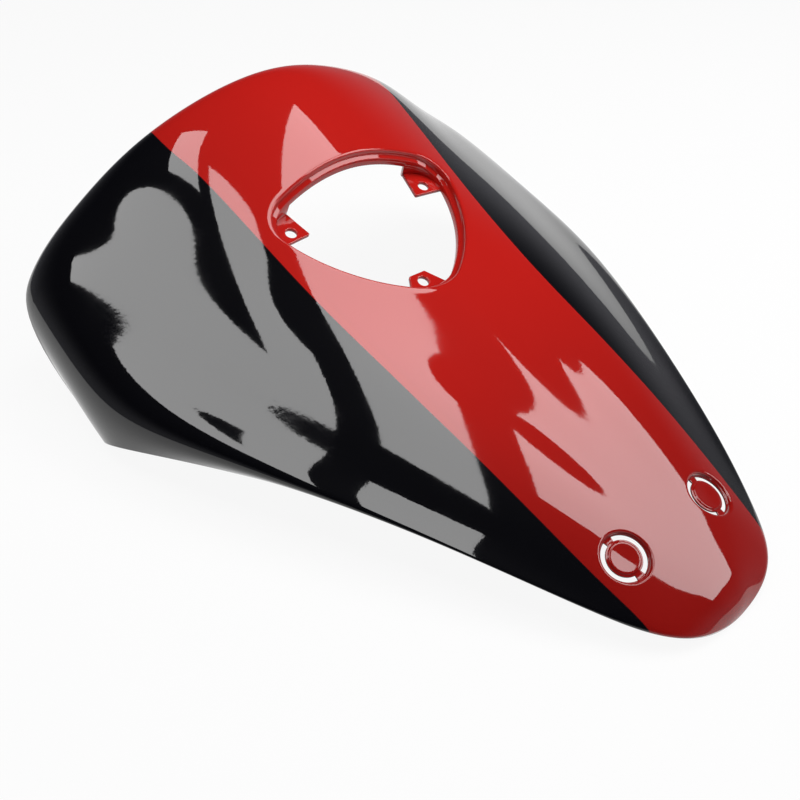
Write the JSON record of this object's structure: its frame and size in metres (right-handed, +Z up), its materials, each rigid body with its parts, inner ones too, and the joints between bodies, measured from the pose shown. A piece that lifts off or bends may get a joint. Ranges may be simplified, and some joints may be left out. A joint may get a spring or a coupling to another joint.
{
  "type": "front fairing panel",
  "caption": "One-piece moulded front fairing shell with a central hump, a rounded-triangle lamp opening with screw tabs, and two round knock-out recesses near the nose.",
  "frame": {"origin": "on the ground plane, under the middle of the panel's bounding box", "axes": "+Z up, +Y from the nose to the wide rear end, +X to the panel's right side seen from behind the nose"},
  "size_m": [0.3762, 0.4076, 0.1593],
  "materials": {
    "paint": "gloss black paint over moulded plastic, with a red centre stripe"
  },
  "bodies": {
    "root": {"front_panel": "paint"}
  },
  "joints": []
}
